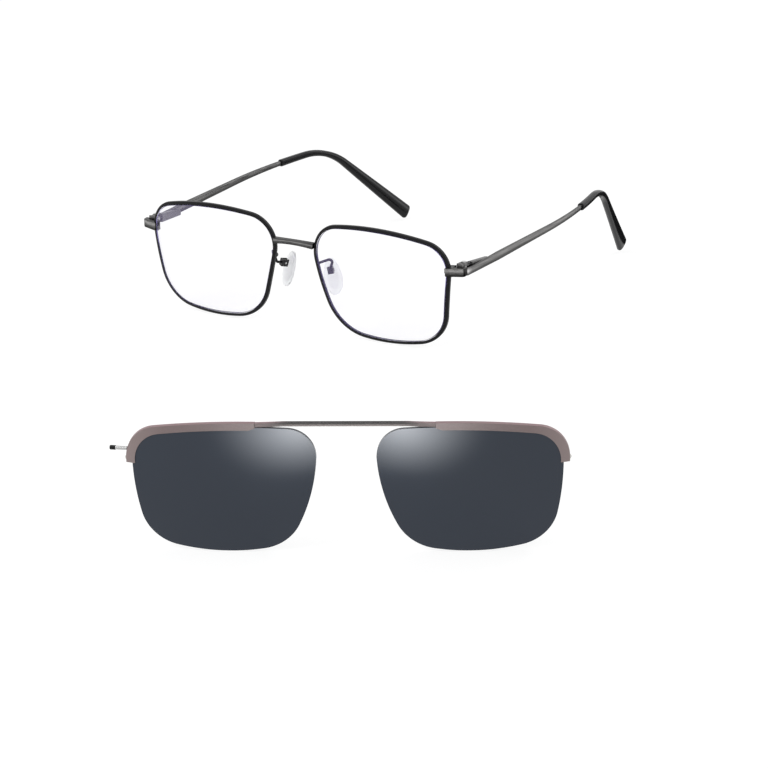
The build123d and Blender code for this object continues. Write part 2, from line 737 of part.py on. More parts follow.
with BuildPart() as clip_bar:
    with BuildSketch(bar_base_plane):
        with BuildLine():
            fore_points = bar_points(clip_standoff + clip_bar_deep / 2)
            rear_points = bar_points(clip_standoff - clip_bar_deep / 2)
            ThreePointArc(*fore_points)
            ThreePointArc(*rear_points)
            Line(fore_points[-1], rear_points[-1])
            Line(fore_points[0], (0, fore_points[0][1]))
            Line((0, fore_points[0][1]), (0, rear_points[0][1]))
            Line((0, rear_points[0][1]), rear_points[0])
        make_face()
        mirror(about=Plane.YZ)
    extrude(amount=clip_bar_high)


def mirrored(piece, middle):
    """A piece's mirror image about a middle plane."""
    with BuildPart() as twin:
        mirror(piece.part, about=middle)
    return twin.part


def write(piece, name):
    """Write one finished piece under its name."""
    piece.label = name
    export_step(piece, f"parts/{name}.step")


frame_pairs = {
    "rim": rim, "lens": lens, "end_piece": end_piece, "rim_lock": rim_lock, "lock_screw": lock_screw,
    "frame_magnet": frame_magnet, "pad_arm": pad_arm, "pad_box": pad_box, "pad_screw": pad_screw,
    "pad_insert": pad_insert, "nose_pad": nose_pad, "hinge_front": hinge_front, "hinge_screw": hinge_screw,
    "hinge_carriage": hinge_carriage, "hinge_spring": hinge_spring, "spring_box": spring_box,
    "spring_plug": spring_plug, "temple": temple, "temple_tip": temple_tip,
}
clip_pairs = {"clip_lens": clip_lens, "clip_magnet": clip_magnet}
right_side_only = {"clip_rail": hooked_rail, "clip_hook": clip_hook, "clip_hook_tip": clip_hook_tip}
write(bridge.part, "bridge")
write(clip_bar.part, "clip_bar")
write(clip_rail.part, "left_clip_rail")
for pairs, middle in ((frame_pairs, Plane.YZ), (clip_pairs, clip_middle)):
    for name, piece in pairs.items():
        write(piece.part, "left_" + name)
        write(mirrored(piece, middle), "right_" + name)
for name, piece in right_side_only.items():
    write(mirrored(piece, clip_middle), "right_" + name)
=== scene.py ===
# %% [markdown]
# # Spectacles with a magnetic sun clip
#
# A pair of full-rim metal spectacles stands on a pale table.
# In front of it stands the sun clip that its magnets hold when it is worn.
# The CAD model already has every rigid piece at its real size, so this lesson gives each piece its finish,
# makes the few moulded and wound pieces that CAD solids show only roughly, and sets up the picture.
# Everything is in metres: +X is the wearer's left, +Y runs back along the temples and +Z is up.

# %% Load the model and note its box
import math

import bmesh
import bpy
import numpy as np
from mathutils import Matrix, Vector


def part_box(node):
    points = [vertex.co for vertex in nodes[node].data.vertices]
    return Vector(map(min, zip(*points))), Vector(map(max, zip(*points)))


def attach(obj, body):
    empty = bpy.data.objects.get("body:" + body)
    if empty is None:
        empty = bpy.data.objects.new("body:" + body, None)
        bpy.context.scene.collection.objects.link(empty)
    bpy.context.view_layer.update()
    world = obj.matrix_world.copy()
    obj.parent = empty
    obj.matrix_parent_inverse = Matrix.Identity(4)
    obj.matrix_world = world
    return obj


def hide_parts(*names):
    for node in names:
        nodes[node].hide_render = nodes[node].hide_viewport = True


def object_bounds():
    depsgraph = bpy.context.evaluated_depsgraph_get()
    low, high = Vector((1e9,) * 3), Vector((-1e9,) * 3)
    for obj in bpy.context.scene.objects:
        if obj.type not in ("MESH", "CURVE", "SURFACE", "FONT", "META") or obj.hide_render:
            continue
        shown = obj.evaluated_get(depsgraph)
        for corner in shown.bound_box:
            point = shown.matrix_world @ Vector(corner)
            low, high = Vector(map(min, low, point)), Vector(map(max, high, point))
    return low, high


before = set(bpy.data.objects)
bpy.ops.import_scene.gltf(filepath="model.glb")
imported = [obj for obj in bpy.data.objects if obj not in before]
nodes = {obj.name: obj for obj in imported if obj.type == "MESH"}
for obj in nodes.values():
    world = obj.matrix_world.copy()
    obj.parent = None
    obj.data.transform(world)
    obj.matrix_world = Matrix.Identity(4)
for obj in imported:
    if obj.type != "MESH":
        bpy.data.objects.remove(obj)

mm = 0.001
cad_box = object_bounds()
print("CAD box in mm:", [[round(value / mm, 1) for value in corner] for corner in cad_box])

# %% [markdown]
# ## The camera
#
# The picture was taken with a long lens from well in front, a little above and to the wearer's left. A
# long lens keeps both rims nearly the same size, so the camera stands about one and a half metres away.
# It is tipped a little about its own line of sight, because in the photograph the rims don't stand quite
# upright.

# %% Place the camera
picture_width = 768
focal_pixels = 4467
camera_azimuth = math.radians(34.13)
camera_height_angle = math.radians(17.41)
camera_tip = math.radians(-1.5)
camera_place = Vector((884.0, -1249.5, 426.5)) * mm

away = Vector((math.sin(camera_azimuth) * math.cos(camera_height_angle),
               -math.cos(camera_azimuth) * math.cos(camera_height_angle), math.sin(camera_height_angle)))
level_right = Vector((math.cos(camera_azimuth), math.sin(camera_azimuth), 0))
level_up = away.cross(level_right)
picture_right = level_right * math.cos(camera_tip) + level_up * math.sin(camera_tip)
picture_up = away.cross(picture_right)

camera = bpy.data.objects.new("picture_camera", bpy.data.cameras.new("picture_camera"))
camera.data.sensor_width = 36
camera.data.lens = focal_pixels / picture_width * camera.data.sensor_width
camera.data.clip_end = 20
turned = Matrix((picture_right, picture_up, away)).transposed().to_4x4()
camera.matrix_world = Matrix.Translation(camera_place) @ turned
bpy.context.scene.collection.objects.link(camera)
bpy.context.scene.camera = camera
bpy.context.scene.view_settings.view_transform = "Standard"
print("lens", round(camera.data.lens, 1), "mm")

# %% [markdown]
# ## Helpers for finishes
#
# A finish is a small graph of nodes. These helpers make a material, add a node and join it to others, so
# that each finish below reads as a short recipe. A value in them is a plain number or colour, or another
# node's output. Patterns read object coordinates. They are metres here, so a grain of a third of a
# millimetre has a scale near 3000.

# %% Start a finish, add nodes and join them
def start_finish(title, base_colour, roughness, metallic=0.0):
    """A material whose Principled shader has the values that are the same all over."""
    material = bpy.data.materials.new(title)
    material.use_nodes = True
    shader = material.node_tree.nodes["Principled BSDF"]
    shader.inputs["Base Color"].default_value = (*base_colour, 1)
    shader.inputs["Roughness"].default_value = roughness
    shader.inputs["Metallic"].default_value = metallic
    return material, material.node_tree, shader


def feed(tree, socket, value):
    """Give an input a plain value, or join it to another node's output."""
    if isinstance(value, bpy.types.NodeSocket):
        tree.links.new(value, socket)
    else:
        socket.default_value = value


def add_node(tree, kind, settings=None, **inputs):
    """A node of one kind, with its settings and what goes into its inputs."""
    node = tree.nodes.new(kind)
    for name, value in (settings or {}).items():
        setattr(node, name, value)
    for name, value in inputs.items():
        feed(tree, node.inputs[name.replace("_", " ")], value)
    return node


def calculate(tree, operation, *values, vector=False):
    """The result of a Math node, or of a Vector Math node."""
    node = add_node(tree, "ShaderNodeVectorMath" if vector else "ShaderNodeMath", {"operation": operation})
    for socket, value in zip(node.inputs, values):
        feed(tree, socket, value)
    return node.outputs["Vector" if vector and operation != "DOT_PRODUCT" else "Value"]


def object_place(tree):
    """Object coordinates."""
    return add_node(tree, "ShaderNodeTexCoord").outputs["Object"]


def normal_output(tree):
    """The direction in which the surface faces."""
    return add_node(tree, "ShaderNodeNewGeometry").outputs["Normal"]


def part_of(tree, vector, axis):
    """One part, X, Y or Z, of a vector."""
    return add_node(tree, "ShaderNodeSeparateXYZ", Vector=vector).outputs[axis]


def grain(tree, scale, detail=3.0, stretch=(1, 1, 1)):
    """A noise value from 0 to 1 over the object."""
    place = add_node(tree, "ShaderNodeMapping", Vector=object_place(tree), Scale=stretch).outputs["Vector"]
    return add_node(tree, "ShaderNodeTexNoise", Vector=place, Scale=scale, Detail=detail).outputs["Fac"]


def ramp(tree, value, stops):
    """A colour ramp over a value. Each stop is a position and a colour."""
    node = add_node(tree, "ShaderNodeValToRGB", Fac=value)
    elements = node.color_ramp.elements
    while len(elements) < len(stops):
        elements.new(0.5)
    for element, (position, colour) in zip(elements, stops):
        element.position = position
        element.color = (*colour, 1)
    return node.outputs["Color"]


def spread(tree, value, low, high, start=0.3, end=0.7):
    """A value from start to end spread over the range from low to high."""
    return add_node(tree, "ShaderNodeMapRange", Value=value, From_Min=start, From_Max=end,
                    To_Min=low, To_Max=high).outputs["Result"]


def blend_colours(tree, share, first, second, kind="MIX"):
    """Two colours mixed, or multiplied, by a share."""
    node = add_node(tree, "ShaderNodeMix", {"data_type": "RGBA", "blend_type": kind})
    for index, value in ((0, share), (6, first), (7, second)):
        feed(tree, node.inputs[index], (*value, 1) if isinstance(value, tuple) else value)
    return node.outputs[2]


def paint(tree, shader, colour, roughness=None):
    """Join a colour, and a roughness where that varies too, to the shader."""
    tree.links.new(colour, shader.inputs["Base Color"])
    if roughness is not None:
        tree.links.new(roughness, shader.inputs["Roughness"])


def raise_surface(tree, shader, height, strength, distance):
    """Bump from a height value."""
    bump = add_node(tree, "ShaderNodeBump", Strength=strength, Distance=distance, Height=height)
    tree.links.new(bump.outputs["Normal"], shader.inputs["Normal"])


print("finish helpers ready")

# %% [markdown]
# ## Rims: black lacquer in front, gunmetal outside, violet inside
#
# A rim is drawn metal wire. Its front is lacquered black, its outer wall keeps the gunmetal of the
# bridge, and its inner wall shows the blue-violet coating of the lens that it holds. Which of the three a
# point belongs to could be painted by hand on each face. The direction in which the surface faces tells
# it too, for every point at once, so the finish reads the normal: forwards is lacquer, away from the
# middle of the lens is metal, and towards it is violet.

# %% Rim finish
lens_middle = {"left": (36.3 * mm, 2 * mm, -11 * mm), "right": (-36.3 * mm, 2 * mm, -11 * mm)}
dark_violet, violet_painted_highlight = (0.035, 0.028, 0.12), (0.36, 0.31, 0.68)


def facing_out(tree, middle):
    """How squarely the surface faces away from a line through the lens's middle: 1 away, -1 towards it."""
    outward = calculate(tree, "SUBTRACT", object_place(tree), middle, vector=True)
    flat = calculate(tree, "MULTIPLY", outward, (1, 0, 1), vector=True)
    unit = calculate(tree, "NORMALIZE", flat, vector=True)
    return calculate(tree, "DOT_PRODUCT", unit, normal_output(tree), vector=True)


def violet_with_painted_highlight(tree):
    """Dark violet, with a painted highlight beside the hinges, where the lens's edge catches the light."""
    place = object_place(tree)
    outward = calculate(tree, "ABSOLUTE", part_of(tree, place, "X"))
    painted_highlight_near_hinge = spread(tree, outward, 0.0, 1.0, 55 * mm, 60 * mm)
    high_up = spread(tree, part_of(tree, place, "Z"), 0.0, 1.0, -10 * mm, -7 * mm)
    # The pale violet beside the hinges is a painted highlight on the dark violet.
    return blend_colours(tree, calculate(tree, "MULTIPLY", painted_highlight_near_hinge, high_up), dark_violet, violet_painted_highlight)


def rim_lacquer(side):
    """Black lacquer, turning to gunmetal where the wall faces out and to violet where it faces in."""
    material, tree, shader = start_finish(f"rim lacquer {side}", (0.008, 0.008, 0.009), 0.3)
    shader.inputs["Specular IOR Level"].default_value = 0.12
    facing = facing_out(tree, lens_middle[side])
    speckle = grain(tree, 900)
    black = blend_colours(tree, speckle, (0.006, 0.006, 0.007), (0.016, 0.016, 0.018))
    grey = blend_colours(tree, speckle, (0.03, 0.029, 0.031), (0.06, 0.059, 0.061))
    outside = blend_colours(tree, spread(tree, facing, 0.0, 0.6, 0.7, 1.0), black, grey)
    inside = spread(tree, facing, 1.0, 0.0, -0.8, -0.35)
    paint(tree, shader, blend_colours(tree, inside, outside, violet_with_painted_highlight(tree)),
          spread(tree, speckle, 0.24, 0.38))
    raise_surface(tree, shader, grain(tree, 4000, 2), 0.08, 0.02 * mm)
    return material


rim_finish = {side: rim_lacquer(side) for side in lens_middle}
print("rim finish for", list(rim_finish))

# %% [markdown]
# ## Gunmetal: bridge, end pieces, hinges, temples and pad arms
#
# These pieces are plated and brushed, and their crowns are a light satin grey. Their lower and upper edges
# are darkened as painted shade, which draws a dark line under every piece. A clean line could be masked by
# hand. Here a value from 0 to 1 goes into a colour ramp instead: how far up the surface faces, or how high a
# point lies. A noise stretched along the piece gives the brushing, and a larger noise gives slow changes of
# tone.

# %% Places across a piece
lean = math.radians(6.0)
front_up = np.array([0, -math.sin(lean), math.cos(lean)])
front_forward = np.array([0, -math.cos(lean), -math.sin(lean)])


def place_along(tree, direction, start, end):
    """0 at the distance start along a direction from the origin and 1 at the distance end."""
    along = calculate(tree, "DOT_PRODUCT", object_place(tree), tuple(direction), vector=True)
    return spread(tree, along, 0.0, 1.0, start, end)


def greys(*stops):
    """Ramp stops of neutral colours, from pairs of a place and a grey."""
    return tuple((place, (grey, grey, grey)) for place, grey in stops)


print("the front leans", round(math.degrees(lean), 1), "degrees")

# %% Satin gunmetal
painted_edge_shade_greys = greys((0.0, 0.12), (0.25, 0.2), (0.42, 1.0), (0.62, 1.0), (0.8, 0.55), (1.0, 0.38))


def gunmetal(title, dark, light, stretch, roughness=0.3):
    """Brushed metal: grey between dark and light on its faces, with painted shade on its upper and lower
    edges.
    """
    material, tree, shader = start_finish(title, dark, roughness, 1.0)
    brushing = grain(tree, 1800, 4, stretch=stretch)
    streaks = blend_colours(tree, spread(tree, brushing, 0.0, 1.0, 0.35, 0.65), dark, light)
    worn = blend_colours(tree, spread(tree, grain(tree, 90, 2), 0.0, 0.45), streaks, dark)
    # The ramp over the facing paints shade on the upper and lower edges.
    upward = part_of(tree, normal_output(tree), "Z")
    edges = ramp(tree, spread(tree, upward, 0.0, 1.0, -1.0, 1.0), painted_edge_shade_greys)
    paint(tree, shader, blend_colours(tree, 1.0, worn, edges, "MULTIPLY"),
          spread(tree, brushing, roughness * 0.8, roughness * 1.2))
    raise_surface(tree, shader, brushing, 0.15, 0.02 * mm)
    return material, tree, shader


def add_band(tree, shader, place, stops):
    """Multiply a finish's colour by a ramp over a place."""
    colour = shader.inputs["Base Color"].links[0].from_socket
    paint(tree, shader, blend_colours(tree, 1.0, colour, ramp(tree, place, stops), "MULTIPLY"))


front_metal, _, _ = gunmetal("gunmetal front", (0.13, 0.128, 0.128), (0.25, 0.246, 0.242), (0.12, 1, 1))
arm_metal, _, _ = gunmetal("black pad arms", (0.012, 0.012, 0.013), (0.07, 0.07, 0.072), (1, 1, 0.3))
box_metal, _, _ = gunmetal("dark spring boxes", (0.13, 0.129, 0.13), (0.19, 0.187, 0.185), (1, 0.04, 1))
print("gunmetal for the hinges, the spring boxes and the pad arms")

# %% [markdown]
# ## Painted light and shade on metal: end pieces and bridge
#
# An end piece is a small bar with a soft face. A painted highlight lies on its upper half, painted shade on
# its underside, and a painted shadow on its outer side separates it from the temple. The bridge is darker,
# with one thin painted highlight line along its crown. Both are the same gunmetal with bands of painted light
# and shade laid over it. They follow the height: up the front's plane on an end piece, and up from the arch's
# own line on the bridge.

# %% End piece and bridge finishes
bridge_arch, highlight_line_reach = 0.7 * mm, 1.15 * mm


def end_piece_metal_painted_light():
    """Gunmetal with a painted highlight on its upper half, painted shade below, and a painted shadow on its
    outer side, next to the temple.
    """
    material, tree, shader = gunmetal("gunmetal end pieces", (0.17, 0.167, 0.165), (0.32, 0.315, 0.31),
                                      (0.12, 1, 1))
    low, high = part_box("left_end_piece")
    # Bands over the height paint a highlight on the upper half and shade on the underside.
    height = place_along(tree, front_up, low[2], high[2] - 0.2 * mm)
    add_band(tree, shader, height, greys((0.0, 0.1), (0.2, 0.16), (0.4, 0.55), (0.62, 1.35), (0.82, 0.9),
                                         (0.92, 0.25), (1.0, 0.2)))
    # A painted shadow darkens the outer side, next to the temple.
    painted_shadow_side = calculate(tree, "ABSOLUTE", part_of(tree, normal_output(tree), "X"))
    add_band(tree, shader, spread(tree, painted_shadow_side, 0.0, 1.0, 0.5, 0.85), greys((0.0, 1.0), (1.0, 0.12)))
    return material


def bridge_metal_painted_highlight():
    """Dark gunmetal with a painted highlight line along its arch, which drops with the square of the way out.
    """
    material, tree, shader = gunmetal("gunmetal bridge", (0.075, 0.074, 0.074), (0.17, 0.168, 0.166),
                                      (0.12, 1, 1))
    half_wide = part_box("bridge")[1][0]
    place = object_place(tree)
    way_out = calculate(tree, "DIVIDE", part_of(tree, place, "X"), half_wide)
    arch_drop = spread(tree, calculate(tree, "MULTIPLY", way_out, way_out), 0.0, bridge_arch, 0.0, 1.0)
    height = calculate(tree, "ADD", part_of(tree, place, "Z"), arch_drop)
    # A painted highlight line runs along the arch, with painted shade either side.
    line = spread(tree, height, 0.0, 1.0, bridge_arch - highlight_line_reach, bridge_arch + highlight_line_reach)
    add_band(tree, shader, line, greys((0.0, 0.35), (0.3, 0.6), (0.45, 0.8), (0.58, 2.3), (0.7, 0.8),
                                       (0.85, 0.5), (1.0, 0.4)))
    return material


end_metal_painted_light, bridge_finish_painted_highlight = end_piece_metal_painted_light(), bridge_metal_painted_highlight()
print("end piece and bridge bands ready")

# %% [markdown]
# ## Turned steel and plated magnets
#
# Screws, the hinge carriages and the clip's side hook are plain steel with the fine marks of the lathe.
# The clip's magnets are nickel plated. Those in the frame are plated over with the end pieces, so they
# hardly show.

# %% Steel and nickel
def turned_metal(title, dark, light, roughness, grain_scale):
    """Bright metal with fine tool marks."""
    material, tree, shader = start_finish(title, light, roughness, 1.0)
    marks = grain(tree, grain_scale, 3, stretch=(1, 1, 0.3))
    paint(tree, shader, blend_colours(tree, marks, dark, light),
          spread(tree, marks, roughness * 0.8, roughness * 1.3))
    raise_surface(tree, shader, marks, 0.12, 0.01 * mm)
    return material


screw_steel = turned_metal("turned steel", (0.3, 0.3, 0.305), (0.62, 0.62, 0.61), 0.22, 5000)
nickel = turned_metal("nickel plate", (0.5, 0.49, 0.47), (0.66, 0.65, 0.62), 0.16, 2500)
print("steel and nickel ready")

# %% [markdown]
# ## Clear lenses
#
# The lenses are clear plastic with an anti-reflection coating. What little light the coating throws back is
# violet, which shows on dark things behind the lens, such as the hinge and the pad arm. So the gloss is
# tinted, and the lens's colour also turns faintly violet where it is seen at a flat angle, as a painted
# reflection of the coating.

# %% Coated clear lens
def coated_lens():
    """Clear plastic, with the coating's violet painted into its colour where it is seen at a flat angle, as a
    painted reflection.
    """
    material, tree, shader = start_finish("coated clear lens", (0.98, 0.98, 1.0), 0.0)
    shader.inputs["Transmission Weight"].default_value = 1.0
    shader.inputs["IOR"].default_value = 1.56
    shader.inputs["Specular Tint"].default_value = (0.55, 0.42, 1.0, 1)
    # The violet at flat angles is a painted reflection of the coating.
    edge = add_node(tree, "ShaderNodeLayerWeight", Blend=0.35)
    clear = blend_colours(tree, grain(tree, 60, 2), (0.985, 0.985, 1.0), (1.0, 1.0, 1.0))
    paint(tree, shader, blend_colours(tree, edge.outputs["Facing"], clear, (0.86, 0.84, 1.0)))
    return material


clear_lens = coated_lens()
print("clear lens ready")

# %% [markdown]
# ## Sun lenses
#
# The clip's lenses are dark slate, with a polished face that mirrors the table and the lamps softly.

# %% Slate sun lens
def slate_lens():
    """Dark slate with a hint of slow change in tone and a polished, slightly soft gloss."""
    material, tree, shader = start_finish("slate sun lens", (0.008, 0.017, 0.035), 0.2)
    cloud = grain(tree, 25, 2)
    paint(tree, shader, blend_colours(tree, cloud, (0.007, 0.0155, 0.032), (0.009, 0.0185, 0.037)),
          spread(tree, cloud, 0.17, 0.23))
    return material


sun_lens = slate_lens()
print("sun lens ready")

# %% [markdown]
# ## The clip's taupe metal
#
# The clip's bar and rails are satin taupe. The bar is a darker brown in the middle, over the nose, and the
# rails turn a little pink towards the outer corners. The colour follows the distance from the clip's middle,
# along its width. The rails' upward faces carry a painted pink highlight.

# %% Taupe rails and bar
clip_turn = math.radians(29.7)
bar_low, bar_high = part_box("clip_bar")
clip_middle = (np.array(bar_low) + np.array(bar_high)) / 2


def taupe_metal():
    """Satin taupe, dark at the clip's middle and pink at its outer corners, with a painted pink highlight on
    the rails' upward faces.
    """
    material, tree, shader = start_finish("taupe metal", (0.20, 0.15, 0.145), 0.42, 0.2)
    shader.inputs["Specular IOR Level"].default_value = 0.3
    from_middle = calculate(tree, "SUBTRACT", object_place(tree), tuple(clip_middle), vector=True)
    widthways = (math.cos(clip_turn), math.sin(clip_turn), 0)
    along = calculate(tree, "DOT_PRODUCT", from_middle, widthways, vector=True)
    distance = calculate(tree, "ABSOLUTE", along)
    across = spread(tree, distance, 0.0, 1.0, 0.0, 70 * mm)
    colour = ramp(tree, across, ((0.0, (0.012, 0.011, 0.01)), (0.28, (0.025, 0.021, 0.02)),
                                 (0.38, (0.13, 0.103, 0.1)), (0.52, (0.18, 0.143, 0.14)),
                                 (0.8, (0.2, 0.15, 0.148)), (1.0, (0.3, 0.24, 0.235))))
    satin = grain(tree, 2600, 3)
    near_bar = spread(tree, distance, 1.0, 0.0, 17 * mm, 24 * mm)
    on_rail = calculate(tree, "SUBTRACT", 1.0, near_bar)
    rubbing = calculate(tree, "MULTIPLY", spread(tree, satin, 0.02, 0.12), on_rail)
    wear_and_crease_highlight = blend_colours(tree, rubbing, colour, (0.42, 0.36, 0.35))
    # Upward-facing rail faces get a painted pink highlight.
    upward = part_of(tree, normal_output(tree), "Z")
    upper = calculate(tree, "MULTIPLY", spread(tree, upward, 0.0, 0.6, 0.2, 0.7), on_rail)
    pink = blend_colours(tree, upper, wear_and_crease_highlight, (0.36, 0.22, 0.235))
    lower_edge = place_along(tree, (0, 0, 1), bar_high[2] - 0.55 * mm, bar_high[2] - 1.0 * mm)
    edge_light = calculate(tree, "MULTIPLY", near_bar, lower_edge)
    paint(tree, shader, blend_colours(tree, edge_light, pink, (0.16, 0.14, 0.132)),
          spread(tree, satin, 0.36, 0.5))
    raise_surface(tree, shader, satin, 0.12, 0.015 * mm)
    return material


taupe = taupe_metal()
print("taupe ready")

# %% [markdown]
# ## Black tips and milky nose pads
#
# The sleeves over the temples' ends are polished black plastic with a faint orange-peel skin.
# The nose pads are soft, nearly clear silicone round a milky core.

# %% Black plastic, silicone and core
def height_share(tree):
    """The share of its height that a new piece notes at each point, and 0 on a CAD piece."""
    return add_node(tree, "ShaderNodeAttribute", {"attribute_name": "height_share"}).outputs["Fac"]


def black_tip():
    """Glossy black plastic with a faint wavy skin, and a painted highlight along a crease down the inner face
    near its end.
    """
    material, tree, shader = start_finish("black tips", (0.006, 0.006, 0.007), 0.2)
    shader.inputs["Specular IOR Level"].default_value = 0.2
    skin = grain(tree, 700, 2)
    black = blend_colours(tree, skin, (0.004, 0.004, 0.005), (0.009, 0.009, 0.01))
    # A ramp over the height share paints a crease highlight on the inner face near the end.
    wear_and_crease_highlight = ramp(tree, height_share(tree), greys((0.5, 0.0), (0.6, 0.5), (0.67, 1.0), (0.74, 0.4),
                                                  (0.79, 0.0)))
    near_end = place_along(tree, (0, 1, 0), 102 * mm, 114 * mm)
    line = calculate(tree, "MULTIPLY", wear_and_crease_highlight, near_end)
    paint(tree, shader, blend_colours(tree, line, black, (0.075, 0.076, 0.078)),
          spread(tree, skin, 0.18, 0.27))
    raise_surface(tree, shader, skin, 0.1, 0.03 * mm)
    return material


def milky_silicone():
    """Soft white silicone that lets some light through."""
    material, tree, shader = start_finish("milky silicone", (0.93, 0.93, 0.94), 0.3)
    shader.inputs["Transmission Weight"].default_value = 0.9
    shader.inputs["IOR"].default_value = 1.2
    cloud = grain(tree, 500, 2)
    paint(tree, shader, blend_colours(tree, cloud, (0.90, 0.905, 0.92), (0.96, 0.965, 0.97)))
    raise_surface(tree, shader, grain(tree, 2500, 2), 0.1, 0.02 * mm)
    return material


def matt_core():
    """The pad's stiff milky core."""
    material, tree, shader = start_finish("pad core", (0.97, 0.97, 0.98), 0.45)
    shader.inputs["Transmission Weight"].default_value = 0.92
    shader.inputs["IOR"].default_value = 1.1
    speck = grain(tree, 3000, 2)
    paint(tree, shader, blend_colours(tree, speck, (0.94, 0.94, 0.95), (0.99, 0.99, 1.0)))
    return material


tip_black, silicone, pad_core = black_tip(), milky_silicone(), matt_core()
print("tips, pads and cores ready")

# %% [markdown]
# ## Give every CAD piece its finish
#
# Each node has one material slot, so its finish goes straight into that slot.

# %% Dress the CAD pieces
finish_of = {
    "lens": clear_lens, "end_piece": end_metal_painted_light, "rim_lock": front_metal, "lock_screw": screw_steel,
    "frame_magnet": end_metal_painted_light, "pad_arm": arm_metal, "pad_box": arm_metal, "pad_screw": screw_steel,
    "pad_insert": pad_core, "nose_pad": silicone, "hinge_front": front_metal, "hinge_screw": screw_steel,
    "hinge_carriage": screw_steel, "hinge_spring": screw_steel, "spring_box": box_metal,
    "spring_plug": box_metal, "temple": box_metal, "temple_tip": tip_black, "clip_lens": sun_lens,
    "clip_rail": taupe, "clip_magnet": nickel, "clip_hook": screw_steel, "clip_hook_tip": tip_black,
}


def dress(name, material):
    """Put a finish into a CAD node's own material slot."""
    nodes[name].material_slots[0].material = material


dress("bridge", bridge_finish_painted_highlight)
dress("clip_bar", taupe)
for side in ("left", "right"):
    dress(f"{side}_rim", rim_finish[side])
    for piece, material in finish_of.items():
        if f"{side}_{piece}" in nodes:
            dress(f"{side}_{piece}", material)
print(len(nodes), "CAD pieces dressed")

# %% [markdown]
# ## Surfaces from formulas
#
# New pieces are grids of points worked out by a formula with numpy and handed to Blender as one mesh.
# Each row is a ring that closes on itself, and a row that shrinks to a point closes the end.

# %% A mesh from a grid of points
def surface(name, points, finish, body, share=None):
    """A smooth mesh through a grid of points (rows, columns, 3) whose columns close round into rings.

    A share, one number for each column, is kept as the attribute height_share for the finish to read."""
    rows, columns = points.shape[:2]
    row, column = np.meshgrid(np.arange(rows - 1), np.arange(columns), indexing="ij")
    start, start_below = row * columns, (row + 1) * columns
    beside = (column + 1) % columns
    faces = np.stack([start + column, start + beside, start_below + beside, start_below + column],
                     axis=-1).reshape(-1, 4)
    mesh = bpy.data.meshes.new(name)
    mesh.from_pydata(points.reshape(-1, 3).tolist(), [], faces.tolist())
    mesh.materials.append(finish)
    if share is not None:
        mesh.attributes.new("height_share", "FLOAT", "POINT").data.foreach_set("value", np.tile(share, rows))
    piece = bpy.data.objects.new(name, mesh)
    bpy.context.scene.collection.objects.link(piece)
    close_poles(mesh)
    mesh.polygons.foreach_set("use_smooth", np.ones(len(mesh.polygons), dtype=bool))
    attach(piece, body)
    return piece


def close_poles(mesh):
    """Merge the points that a pole repeats and turn every face outwards."""
    shell = bmesh.new()
    shell.from_mesh(mesh)
    bmesh.ops.remove_doubles(shell, verts=shell.verts, dist=1e-7)
    bmesh.ops.recalc_face_normals(shell, faces=shell.faces)
    shell.to_mesh(mesh)
    shell.free()


def mirrored(points, side):
    """The left side's points, or their mirror image for the right side."""
    return points if side == "left" else points * np.array([-1.0, 1.0, 1.0])


print("surface helper ready")

# %% [markdown]
# ## The lenses' ground edges
#
# A clear lens is ground to the rim's shape. Its edge is matt and takes the violet of the coating, which shows
# as a fine dark band inside the rim, with a painted highlight beside the hinges. Painting the edge of the
# clear lens would need two finishes on one piece. So a thin matt band lies just inside the lens's edge. Its
# outline comes from the CAD lens: the vertex that reaches farthest in each direction.

# %% Ground edges
edge_inset, edge_wall, edge_half_deep = 0.56 * mm, 0.12 * mm, 0.55 * mm


def ground_finish():
    """Matt violet, finely ground."""
    material, tree, shader = start_finish("ground lens edge", dark_violet, 0.6)
    grit = grain(tree, 6000, 2)
    paler = spread(tree, grit, 0.0, 0.05)
    paint(tree, shader, blend_colours(tree, paler, violet_with_painted_highlight(tree), (0.5, 0.45, 0.8)))
    raise_surface(tree, shader, grit, 0.1, 0.01 * mm)
    return material


def second_order(flat):
    """The terms 1, x, u, xx, xu and uu of a second-order surface at the places (x, u)."""
    x, u = flat[:, 0], flat[:, 1]
    return np.stack([np.ones_like(x), x, u, x * x, x * u, u * u], axis=-1)


def lens_outline(side, steps=240):
    """A lens's middle, its outline out and up the front's plane, and the outline's depth.

    The outline is the lens's convex hull, walked in equal steps. Its depth is a second-order surface that is
    fitted to the hull's own points."""
    mesh = nodes[f"{side}_lens"].data
    places = np.empty(3 * len(mesh.vertices))
    mesh.vertices.foreach_get("co", places)
    places = places.reshape(-1, 3)
    middle = (places.min(axis=0) + places.max(axis=0)) / 2
    flat = np.stack([(places - middle)[:, 0], (places - middle) @ front_up], axis=-1)
    directions = np.linspace(0, 2 * math.pi, 720, endpoint=False)
    reach = flat @ np.stack([np.cos(directions), np.sin(directions)])
    hull = np.unique(np.argmax(reach, axis=0))
    hull = hull[np.argsort(np.arctan2(flat[hull, 1], flat[hull, 0]))]
    depth = (places[hull] - middle) @ front_forward
    shape = np.linalg.lstsq(second_order(flat[hull]), depth, rcond=None)[0]
    ring = np.concatenate([flat[hull], flat[hull[:1]]])
    walked = np.concatenate([[0], np.cumsum(np.linalg.norm(np.diff(ring, axis=0), axis=1))])
    stop = np.linspace(0, walked[-1], steps, endpoint=False)
    outline = np.stack([np.interp(stop, walked, ring[:, 0]), np.interp(stop, walked, ring[:, 1])], axis=-1)
    return middle, outline, second_order(outline) @ shape


